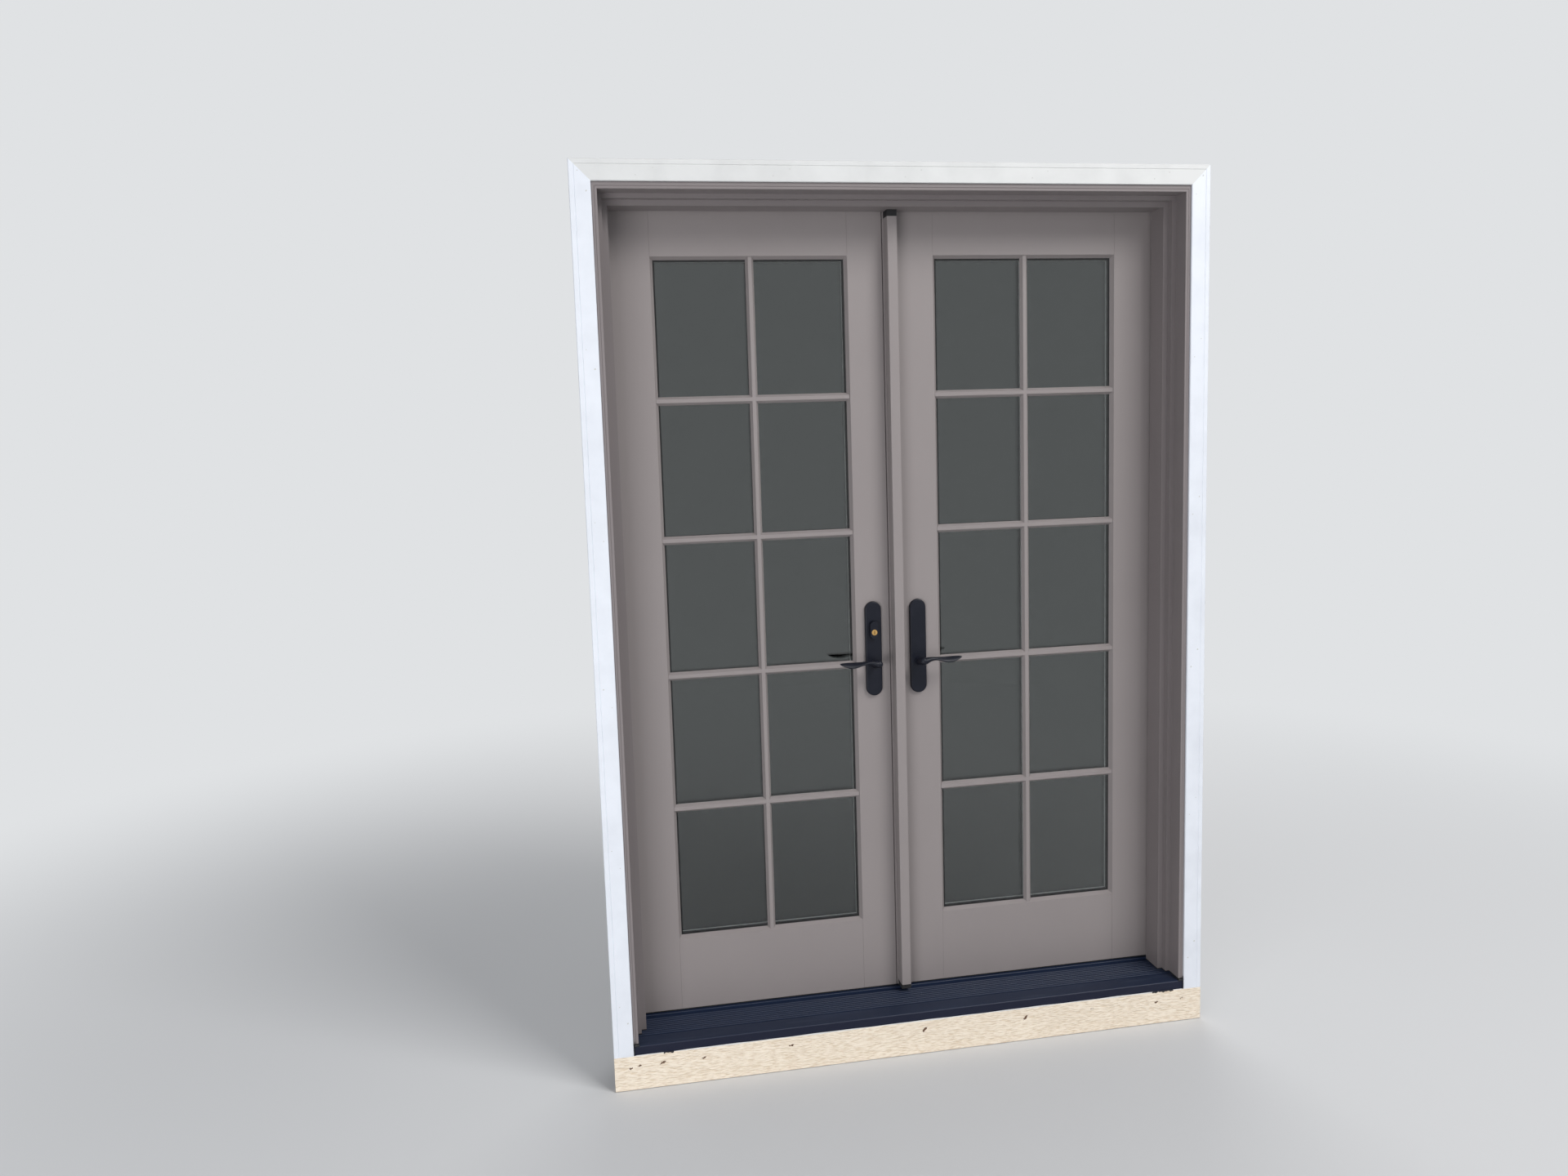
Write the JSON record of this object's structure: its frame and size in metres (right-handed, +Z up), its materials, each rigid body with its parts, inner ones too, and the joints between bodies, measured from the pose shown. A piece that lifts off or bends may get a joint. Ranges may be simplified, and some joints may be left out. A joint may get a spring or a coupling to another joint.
{
  "type": "french doors",
  "caption": "Inswing pair of glazed doors with applied bars, waved lever handles, an astragal, clad stepped jambs, a ribbed metal sill, flat casing and a skirt board.",
  "frame": {"origin": "middle of the sill's underside, at half the frame's depth", "axes": "+X to the right seen from outside, +Y into the house through the wall, +Z up"},
  "size_m": [1.5826, 0.2568, 2.2488],
  "materials": {
    "jamb_wood": "smooth white primer",
    "clad_taupe": "baked taupe enamel, satin",
    "leaf_taupe": "factory taupe finish, satin",
    "casing_white": "white paint, eggshell",
    "skirt_primed": "tan primer over embossed grain, matte",
    "sill_dark": "blue-black coating, satin",
    "threshold_dark": "dark coating, satin",
    "core_grey": "moulded, dull",
    "spacer_dark": "dull dark",
    "seal_rubber": "soft, dull black",
    "pane_glass": "clear sealed unit",
    "black_metal": "smooth black powder coat",
    "lock_steel": "brushed",
    "key_brass": "satin"
  },
  "bodies": {
    "frame": {"left_jamb": "jamb_wood", "right_jamb": "jamb_wood", "head_jamb": "jamb_wood", "left_cladding": "clad_taupe", "right_cladding": "clad_taupe", "head_cladding": "clad_taupe", "sill_core": "core_grey", "sill": "sill_dark", "threshold": "threshold_dark", "jamb_pads": "seal_rubber", "bolt_strikes": "lock_steel", "left_casing": "casing_white", "right_casing": "casing_white", "head_casing": "casing_white", "skirt_board": "skirt_primed", "frame_seal": "seal_rubber", "frame_hinge_leaves": "lock_steel", "hinge_pins": "lock_steel"},
    "left_door": {"left_hinge_stile": "leaf_taupe", "left_lock_stile": "leaf_taupe", "left_top_rail": "leaf_taupe", "left_bottom_rail": "leaf_taupe", "left_panes": "pane_glass", "left_spacer": "spacer_dark", "left_grilles": "leaf_taupe", "left_glazing_beads": "leaf_taupe", "left_sweep": "seal_rubber", "left_hinge_leaves": "lock_steel", "left_outer_plate": "black_metal", "left_inner_plate": "black_metal", "left_lock_case": "lock_steel", "key_cylinder": "black_metal"},
    "left_handle": {"left_outer_lever": "black_metal", "left_inner_lever": "black_metal"},
    "key": {"key_plug": "key_brass"},
    "turn": {"thumb_turn": "black_metal"},
    "deadbolt": {"deadbolt": "lock_steel"},
    "latch": {"latch_bolt": "lock_steel"},
    "right_door": {"right_hinge_stile": "leaf_taupe", "right_lock_stile": "leaf_taupe", "right_top_rail": "leaf_taupe", "right_bottom_rail": "leaf_taupe", "right_panes": "pane_glass", "right_spacer": "spacer_dark", "right_grilles": "leaf_taupe", "right_glazing_beads": "leaf_taupe", "right_sweep": "seal_rubber", "right_hinge_leaves": "lock_steel", "right_outer_plate": "black_metal", "right_inner_plate": "black_metal", "right_lock_case": "lock_steel", "edge_strike": "lock_steel", "astragal": "leaf_taupe", "meeting_seal": "seal_rubber"},
    "right_handle": {"right_outer_lever": "black_metal", "right_inner_lever": "black_metal"},
    "top_bolt": {"top_bolt": "lock_steel"},
    "bottom_bolt": {"bottom_bolt": "lock_steel"}
  },
  "joints": [
    {"name": "left_door_swing", "type": "hinge", "parent": "frame", "child": "left_door", "pos_m": [-0.716, 0.09225, 1.071], "axis": [0, 0, 1], "range_deg": [0, 110]},
    {"name": "right_door_swing", "type": "hinge", "parent": "frame", "child": "right_door", "pos_m": [0.716, 0.09225, 1.071], "axis": [0, 0, -1], "range_deg": [0, 110]},
    {"name": "left_lever_turn", "type": "hinge", "parent": "left_door", "child": "left_handle", "pos_m": [-0.0667, 0.0635, 0.936], "axis": [0, -1, 0], "range_deg": [0, 45], "stiffness_Nm_per_rad": 2, "springref_deg": -28.65},
    {"name": "right_lever_turn", "type": "hinge", "parent": "right_door", "child": "right_handle", "pos_m": [0.0536, 0.0635, 0.936], "axis": [0, -1, 0], "range_deg": [0, 45]},
    {"name": "key_plug_turn", "type": "hinge", "parent": "left_door", "child": "key", "pos_m": [-0.0667, 0.0635, 1.021], "axis": [0, 1, 0], "range_deg": [0, 90]},
    {"name": "thumb_turn_turn", "type": "hinge", "parent": "left_door", "child": "turn", "pos_m": [-0.0667, 0.0635, 1.021], "axis": [0, 1, 0], "range_deg": [0, 90]},
    {"name": "deadbolt_slide", "type": "slide", "parent": "left_door", "child": "deadbolt", "axis": [1, 0, 0], "range_m": [0, 0.025]},
    {"name": "latch_slide", "type": "slide", "parent": "left_door", "child": "latch", "axis": [1, 0, 0], "range_m": [0, 0.012]},
    {"name": "top_bolt_slide", "type": "slide", "parent": "right_door", "child": "top_bolt", "axis": [0, 0, 1], "range_m": [0, 0.02]},
    {"name": "bottom_bolt_slide", "type": "slide", "parent": "right_door", "child": "bottom_bolt", "axis": [0, 0, -1], "range_m": [0, 0.02]}
  ],
  "couplings": [
    {"joint": "thumb_turn_turn", "follows": "deadbolt_slide", "rad_per_m": 62.832},
    {"joint": "top_bolt_slide", "follows": "right_lever_turn", "m_per_rad": 0.025465},
    {"joint": "bottom_bolt_slide", "follows": "right_lever_turn", "m_per_rad": 0.025465}
  ]
}
